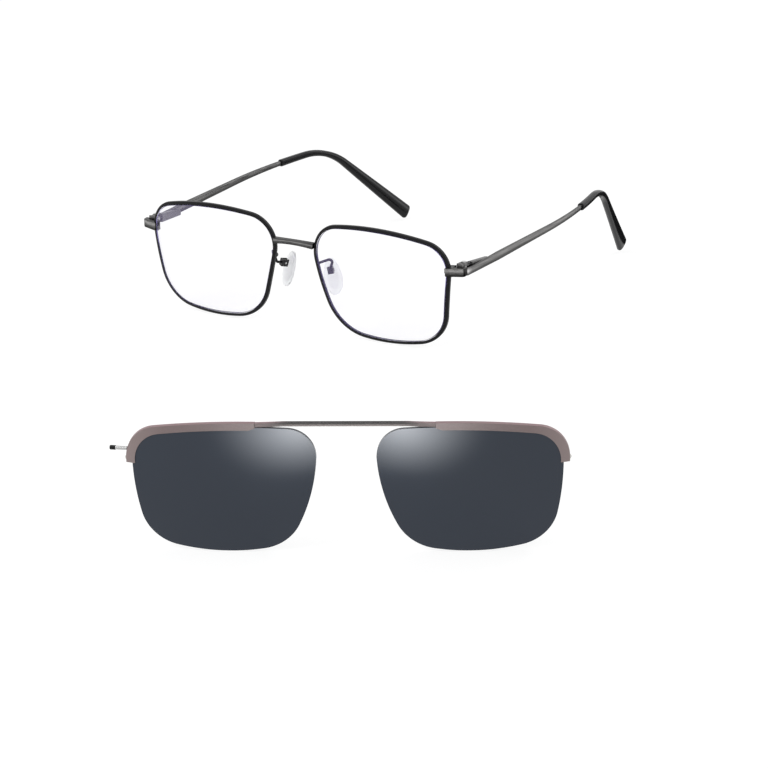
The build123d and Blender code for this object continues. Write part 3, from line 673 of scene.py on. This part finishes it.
def edge_points(side):
    """A band inside a lens's edge: the outline drawn in by an inset, and again by the band's wall.

    Its first row comes again at the end, and the two are merged, so that the band is closed."""
    middle, outline, depth = lens_outline(side)
    unit = outline / np.linalg.norm(outline, axis=1)[:, None]
    rows = []
    for wall, forward in ((0, 1), (0, -1), (edge_wall, -1), (edge_wall, 1), (0, 1)):
        drawn = outline - unit * (edge_inset + wall)
        rows.append(middle + drawn[:, :1] * np.array([1, 0, 0]) + drawn[:, 1:] * front_up
                    + (depth + forward * edge_half_deep)[:, None] * front_forward)
    return np.stack(rows)


ground_edge = ground_finish()
for side in ("left", "right"):
    band = surface(f"{side}_lens_edge", edge_points(side), ground_edge, "front")
    print(band.name, len(band.data.polygons), "faces")

# %% [markdown]
# ## Nose pads
#
# A nose pad is a drop-shaped cushion of silicone, fuller at its lower end and crowned on the side that
# meets the nose. It is a stack of drop-shaped rings: they grow from the middle of the flat back, round
# the edge and close again on the crowned face.

# %% Mould the nose pads
def on_front(out, up, back):
    """A point of the front, in metres, by millimetres out, up and back from the middle of the bridge."""
    return (np.array([out, 0, 0]) + front_up * up - front_forward * back) * mm


pad_top, pad_bottom = on_front(8.5, -7.5, 9.2), on_front(11.9, -20.5, 6.6)
pad_half_wide, pad_half_long, pad_deep = 3.3 * mm, 6.8 * mm, 2.4 * mm
pad_splay = math.radians(60.0)


def pad_points(rings=28, spokes=64):
    """Rings at radius r and depth d, with r and d running round half a rounded rectangle.

    The outline is an ellipse, drawn in towards its upper end:
    x = w cos(a) (1 - 0.16 sin(a)), y = h sin(a)."""
    up = (pad_top - pad_bottom) / np.linalg.norm(pad_top - pad_bottom)
    outward = np.array([math.cos(pad_splay), 0, 0]) + front_forward * math.sin(pad_splay)
    across = np.cross(up, outward)
    across /= np.linalg.norm(across)
    facing = np.cross(across, up)
    turn = np.linspace(0, math.pi, rings)
    spread_out = np.sin(turn) ** 0.45
    depth = -0.5 * (1 - np.cos(turn)) * (1 - 0.12 * (1 - spread_out))
    angle = np.linspace(0, 2 * math.pi, spokes, endpoint=False)
    width = pad_half_wide * np.cos(angle) * (1 - 0.16 * np.sin(angle))
    length = pad_half_long * np.sin(angle)
    middle = (pad_top + pad_bottom) / 2
    share = np.clip(spread_out, 0, 0.985)[:, None]
    flat = (share * width)[..., None] * across + (share * length)[..., None] * up
    return middle + flat + (depth * pad_deep)[:, None, None] * facing


for side in ("left", "right"):
    pad = surface(f"{side}_pad_cushion", mirrored(pad_points(), side), silicone, f"{side}_pad")
    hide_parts(f"{side}_nose_pad")
    print(pad.name, len(pad.data.polygons), "faces")

# %% [markdown]
# ## Temples and their tips
#
# A temple is a flat bar with crowned faces. From the side it climbs a little, turns down behind the ear
# and ends in the black tip. From above it runs straight back and then bows inward. A bevelled curve would
# give a round wire, and an extruded outline gives sharp flat faces. Here a soft-cornered section is
# carried along the path instead, with its own height at every place, which gives the faces their crown.
# The tip also twists a little, so that its lower end leans in to follow the head. Each point's share of
# the height goes to the finish, on a tip only for the inner half of the section. Distances in these cells
# are in millimetres until the last step.

# %% The path of a temple
temple_low, temple_high = (np.array(corner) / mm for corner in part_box("left_temple"))
temple_front, temple_middle_up = temple_low[1], -3.0
temple_thick, tip_thick = 1.1, 2.6
temple_middle_out = temple_high[0] - temple_thick / 2
rise, drop = math.radians(2.95), math.radians(42.2)
bend_back, bend_radius = 109.8, 25.0
bow_start, bow_end, bow_radius = 60.0, 114.5, 165.0
tip_back = 145.9
bend_tangent = bend_radius * math.tan((rise + drop) / 2)
bend_start = (bend_back - temple_front) / math.cos(rise) - bend_tangent
bend_end = bend_start + bend_radius * (rise + drop)
tip_end = bend_end - bend_tangent + (tip_back - bend_back) / math.cos(drop)


def side_path(distance):
    """Back, up and slope of a temple's middle line from the side, by distance along it.

    It climbs in a straight line, turns down round a circle and falls in a straight line."""
    slope = rise - np.clip((distance - bend_start) / bend_radius, 0, rise + drop)
    early = np.minimum(distance - bend_start, 0)
    late = np.maximum(distance - bend_end, 0)
    centre_back = temple_front + bend_start * math.cos(rise) + bend_radius * math.sin(rise)
    centre_up = temple_middle_up + bend_start * math.sin(rise) - bend_radius * math.cos(rise)
    back = centre_back - bend_radius * np.sin(slope) + early * math.cos(rise) + late * math.cos(drop)
    up = centre_up + bend_radius * np.cos(slope) + early * math.sin(rise) - late * math.sin(drop)
    return back, up, slope


def plan_path(back):
    """Distance out and direction of a temple's middle from above: straight, round a circle, straight."""
    turn = np.arcsin(np.clip(back - bow_start, 0, bow_end - bow_start) / bow_radius)
    late = np.maximum(back - bow_end, 0)
    return temple_middle_out - bow_radius * (1 - np.cos(turn)) - late * np.tan(turn), turn


print("temple path", round(bend_start, 1), round(bend_end, 1), round(tip_end, 1), "mm along")

# %% A bar along the path
def rounded_ends(start, end, start_round, end_round, steps=90):
    """Distances along a bar, and how far its section draws in at each: r - sqrt(r r - (r - d) (r - d)).

    At its first and last place the section draws in to a point, which closes the bar."""
    quarter = np.linspace(0, math.pi / 2, 9)
    first = start + start_round * (1 - np.cos(quarter))
    last = end - end_round * (1 - np.cos(quarter[::-1]))
    between = np.linspace(first[-1], last[0], steps)[1:-1]
    draw = np.concatenate([start_round * (1 - np.sin(quarter)), 0 * between,
                           end_round * (1 - np.sin(quarter[::-1]))])
    distance = np.concatenate([[start], first, between, last, [end]])
    return distance, np.concatenate([[np.inf], draw, [np.inf]])


def bent_power(value, power):
    """The size of a value raised to a power, with its sign kept."""
    return np.sign(value) * np.abs(value) ** power


def bar_points(distance, draw, half_high, half_thick, powers, twist=0.0, spokes=64):
    """A section carried along a temple's path, and each spoke's share of the height.

    Round the section, v = h sin(a)^p over the height and w = t cos(a)^q through the thickness, signs kept.
    The section then turns about the path by the twist."""
    back, up, slope = side_path(distance)
    angle = np.linspace(0, 2 * math.pi, spokes, endpoint=False)
    over = bent_power(np.sin(angle), powers[0])
    high = over * np.maximum(half_high - draw, 0)[:, None]
    thick = bent_power(np.cos(angle), powers[1]) * np.maximum(half_thick - draw, 0)[:, None]
    twist = np.broadcast_to(twist, distance.shape)[:, None]
    v = high * np.cos(twist) - thick * np.sin(twist)
    w = thick * np.cos(twist) + high * np.sin(twist)
    backs = back[:, None] - v * np.sin(slope)[:, None]
    ups = up[:, None] + v * np.cos(slope)[:, None]
    out, turn = plan_path(backs)
    return np.stack([out + w * np.cos(turn), backs + w * np.sin(turn), ups], axis=-1) * mm, (over + 1) / 2


def temple_with_painted_light():
    """Gunmetal with a painted highlight on its crown, painted shade in a thin upper line and along its lower
    edge, and a painted highlight on its front end.
    """
    material, tree, shader = gunmetal("gunmetal temples", (0.16, 0.158, 0.158), (0.3, 0.296, 0.292),
                                      (1, 0.06, 1))
    # The ramp over the height paints a highlight on the crown and shade at the upper and lower edges.
    add_band(tree, shader, height_share(tree), greys((0.0, 0.1), (0.2, 0.2), (0.38, 0.45), (0.54, 0.9),
                                                     (0.7, 1.05), (0.88, 0.95), (1.0, 0.6)))
    # This band paints a highlight on the temple's front end.
    front = place_along(tree, (0, 1, 0), (temple_front + 0.4) * mm, (temple_front + 3.0) * mm)
    add_band(tree, shader, front, greys((0.0, 2.9), (0.35, 2.0), (1.0, 1.0)))
    return material


print("bar helper ready")

# %% Make the temples and the tips
blade_metal_painted_light = temple_with_painted_light()
blade_stations = ((temple_front, 1.25), (27.0, 1.6), (86.6, 0.9))
sleeve_front, blade_in_sleeve = 86.669, 1.5
tip_halves, tip_shortened, full_twist = (1.35, 1.15, 2.8), 0.4, math.radians(18)

sleeve_start = (sleeve_front - temple_front) / math.cos(rise)
blade_along, blade_draw = rounded_ends(0.0, sleeve_start + blade_in_sleeve, start_round=0.45, end_round=0.1)
station_along = [(back - temple_front) / math.cos(rise) for back, _ in blade_stations]
blade_half = np.interp(blade_along, station_along, [half for _, half in blade_stations])
blade_points, blade_share = bar_points(blade_along, blade_draw, blade_half, temple_thick / 2,
                                       powers=(0.62, 0.42))

tip_stop = tip_end - tip_shortened
tip_along, tip_draw = rounded_ends(sleeve_start, tip_stop, start_round=0.3, end_round=1.2)
tip_half = np.interp(tip_along, [sleeve_start, (bend_start + bend_end) / 2, tip_stop], tip_halves)
tip_twist = full_twist * np.clip((tip_along - bend_start) / (tip_stop - bend_start), 0, 1)
tip_points, tip_share = bar_points(tip_along, tip_draw, tip_half, tip_thick / 2, powers=(0.75, 0.8),
                                   twist=tip_twist)
way_round = np.arange(len(tip_share)) / len(tip_share)
inner_share = np.where((way_round > 0.25) & (way_round < 0.75), tip_share, 0.0)

for side in ("left", "right"):
    blade = surface(f"{side}_temple_blade", mirrored(blade_points, side), blade_metal_painted_light, f"{side}_temple",
                    blade_share)
    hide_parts(f"{side}_temple")
    tip = surface(f"{side}_tip_sleeve", mirrored(tip_points, side), tip_black, f"{side}_temple",
                  inner_share)
    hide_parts(f"{side}_temple_tip")
    print(blade.name, len(blade.data.polygons), "faces;", tip.name, len(tip.data.polygons), "faces")

# %% [markdown]
# ## Hinge springs
#
# A spring hinge hides a small coil spring in the box on the temple. It is squeezed when the temple opens
# too far. The CAD model has the space it takes as a sleeve. The spring itself is a wire carried round a
# helix, with one closed turn at each end, as a spring winder makes it.

# %% Wind the springs
def coil_points(start, length, radius, wire, turns=10, steps=24, spokes=10):
    """A wire of radius w round a helix of radius R: x = R cos(t), z = R sin(t), y grows with t.

    The first and last turns climb only a little more than the wire's thickness, so they lie closed."""
    turn = np.linspace(0, turns, turns * steps + 1)
    closed = 2.1 * wire
    climb = np.interp(turn, [0, 1, turns - 1, turns],
                      [wire, wire + closed, length - wire - closed, length - wire])
    angle = 2 * math.pi * turn
    outward = np.stack([np.cos(angle), np.zeros_like(angle), np.sin(angle)], axis=-1)
    centre = np.array(start) + outward * radius + np.outer(climb, (0, 1, 0))
    thickness = np.concatenate([[0], np.full(len(turn), wire), [0]])[:, None, None]
    rows = np.concatenate([[0], np.arange(len(turn)), [len(turn) - 1]])
    round_wire = np.linspace(0, 2 * math.pi, spokes, endpoint=False)[None, :, None]
    ring = np.cos(round_wire) * outward[rows][:, None, :] + np.sin(round_wire) * np.array([0, 1, 0])
    return centre[rows][:, None, :] + thickness * ring


spring_low, spring_high = (np.array(corner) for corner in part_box("left_hinge_spring"))
spring_middle = (spring_low + spring_high) / 2
spring_wire = 0.12 * mm
coil = coil_points((spring_middle[0], spring_low[1], spring_middle[2]), spring_high[1] - spring_low[1],
                   (spring_high[0] - spring_low[0]) / 2 - spring_wire, spring_wire)
for side in ("left", "right"):
    spring = surface(f"{side}_coil_spring", mirrored(coil, side), screw_steel, f"{side}_carriage")
    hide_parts(f"{side}_hinge_spring")
    print(spring.name, len(spring.data.polygons), "faces")

# %% [markdown]
# ## Table, world and lamps
#
# The table is pale and plain. What the camera, a mirror or a clear lens sees of it is white, as in the
# photograph, while a faint share of its own shading keeps the shadow where the pieces stand. The world
# lights everything softly, and two broad lamps give the metal its highlights.

# %% Helpers for the stage
def seen_by_eye(tree):
    """1 for what the camera, a gloss or a clear lens sees, and 0 for the light that falls on things."""
    path = add_node(tree, "ShaderNodeLightPath")
    seen = calculate(tree, "MAXIMUM", path.outputs["Is Camera Ray"], path.outputs["Is Glossy Ray"])
    return calculate(tree, "MAXIMUM", seen, path.outputs["Is Transmission Ray"])


def empty_finish(name):
    """A material with nothing in its graph."""
    material = bpy.data.materials.new(name)
    material.use_nodes = True
    material.node_tree.nodes.clear()
    return material, material.node_tree


def show(tree, shader, second=None):
    """Join a shader, or the sum of two, to the material's output."""
    if second is not None:
        both = add_node(tree, "ShaderNodeAddShader")
        tree.links.new(shader.outputs[0], both.inputs[0])
        tree.links.new(second.outputs[0], both.inputs[1])
        shader = both
    add_node(tree, "ShaderNodeOutputMaterial", Surface=shader.outputs[0])


def level_corners(low, high, height):
    """The corners of a level rectangle, in turn."""
    return [(low[0], low[1], height), (high[0], low[1], height), (high[0], high[1], height),
            (low[0], high[1], height)]


def flat_sheet(name, corners, material, only_gloss=False):
    """One flat face through four corners, which can be hidden from everything but gloss."""
    mesh = bpy.data.meshes.new(name)
    mesh.from_pydata(corners, [], [(0, 1, 2, 3)])
    mesh.materials.append(material)
    sheet = bpy.data.objects.new(name, mesh)
    bpy.context.scene.collection.objects.link(sheet)
    if only_gloss:
        sheet.visible_camera = sheet.visible_diffuse = sheet.visible_shadow = False
        sheet.visible_transmission = False
    return sheet


print("stage helpers ready")

# %% Table
def table_finish():
    """White for the camera, for gloss and for clear lenses, with a faint shadow from a diffuse share."""
    material, tree = empty_finish("pale table")
    paper = blend_colours(tree, grain(tree, 40, 4), (0.30, 0.30, 0.30), (0.32, 0.32, 0.32))
    matt = add_node(tree, "ShaderNodeBsdfDiffuse", Color=paper)
    white = add_node(tree, "ShaderNodeEmission", Color=(1, 1, 1, 1),
                     Strength=spread(tree, seen_by_eye(tree), 0.55, 0.80, 0.0, 1.0))
    show(tree, matt, white)
    return material


table_height = cad_box[0][2] - 0.02 * mm
table_reach = 4.0
table_corners = level_corners((-table_reach, -table_reach), (table_reach, table_reach), table_height)
table = flat_sheet("table", table_corners, table_finish())
print("table at", round(table_height / mm, 2), "mm")

# %% World
def set_world():
    """Soft white light all round, and full white for what is seen."""
    world = bpy.data.worlds.new("studio")
    world.use_nodes = True
    tree = world.node_tree
    tree.nodes.clear()
    sky = add_node(tree, "ShaderNodeBackground", Color=(1, 1, 1, 1),
                   Strength=spread(tree, seen_by_eye(tree), 0.6, 1.0, 0.0, 1.0))
    add_node(tree, "ShaderNodeOutputWorld", Surface=sky.outputs[0])
    bpy.context.scene.world = world


set_world()
print("world set")

# %% Lamps
def soft_lamp(name, place, target, width, height, power):
    """A broad rectangular lamp at a place, aimed at a target. All lengths are in metres."""
    lamp = bpy.data.objects.new(name, bpy.data.lights.new(name, "AREA"))
    lamp.data.shape = "RECTANGLE"
    lamp.data.size = width
    lamp.data.size_y = height
    lamp.data.energy = power
    aim = Vector(target) - Vector(place)
    lamp.matrix_world = Matrix.Translation(place) @ aim.to_track_quat("-Z", "Y").to_matrix().to_4x4()
    bpy.context.scene.collection.objects.link(lamp)


soft_lamp("key lamp", place=(-0.25, -0.75, 0.75), target=(0.05, 0, 0), width=0.6, height=0.5, power=3.0)
soft_lamp("back lamp", place=(0.35, 0.85, 0.7), target=(0.05, 0, 0), width=0.7, height=0.4, power=2.0)
print("lamps set")

# %% [markdown]
# ## A soft glow for the sun lenses
#
# In the photograph both sun lenses carry the same soft pale glow in their upper inner corners. A lamp
# that reflects in a curved lens makes such a glow, so a small card stands low in front of the clip, at
# the place that both corners mirror. It shines strongest in its middle and fades outwards, and only gloss
# sees it.

# %% Glow card
def glow_card(name, place, target, half_width, half_height, strength, tint):
    """A card at a place, facing a target, whose light fades from its middle as (1 - d) to the power of 2.

    d is the distance from the card's middle, as a share of the card's half width and half height."""
    forward = (np.array(target) - np.array(place)) / np.linalg.norm(np.array(target) - np.array(place))
    across = np.cross((0, 0, 1.0), forward)
    across /= np.linalg.norm(across)
    upward = np.cross(forward, across)
    square = ((-1, -1), (1, -1), (1, 1), (-1, 1))
    corners = [(np.array(place) + across * half_width * i + upward * half_height * j).tolist()
               for i, j in square]
    material, tree = empty_finish(name)
    square_place = add_node(tree, "ShaderNodeTexCoord").outputs["UV"]
    fade = add_node(tree, "ShaderNodeTexGradient", {"gradient_type": "QUADRATIC_SPHERE"}, Vector=square_place)
    light = add_node(tree, "ShaderNodeEmission", Color=(*tint, 1),
                     Strength=spread(tree, fade.outputs["Fac"], 0.0, strength, 0.0, 1.0))
    show(tree, light, add_node(tree, "ShaderNodeBsdfTransparent"))
    card = flat_sheet(name, corners, material, only_gloss=True)
    card.data.uv_layers.new(name="square").data.foreach_set("uv", np.ravel(square))
    return card


glow = glow_card("glow_card", place=(0.178, -0.2415, 0.001), target=(0.150, -0.186, 0.009), half_width=0.060,
                 half_height=0.042, strength=17.5, tint=(0.96, 0.98, 1.0))
print("glow card", [round(value, 3) for value in glow.data.vertices[0].co])

# %% [markdown]
# ## A dark flag behind the tips
#
# Polished black mirrors its surroundings at a flat angle, so under an all-white studio the tips would
# look pale. A photographer lays a dark card behind such a piece. Only gloss sees this one.

# %% Dark flag
def dark_flag(name, low, high, height):
    """A level dark card from one corner to the other, in metres, that only gloss sees."""
    material, tree = empty_finish(name)
    felt = blend_colours(tree, grain(tree, 60), (0.01, 0.01, 0.01), (0.03, 0.03, 0.03))
    show(tree, add_node(tree, "ShaderNodeBsdfDiffuse", Color=felt))
    flag = flat_sheet(name, level_corners(low, high, height), material, only_gloss=True)


flag_height = table_height + 0.5 * mm
dark_flag("tip_flag", low=(-0.02, 0.150), high=(0.105, 0.420), height=flag_height)
print("flag at", round(flag_height / mm, 2), "mm")
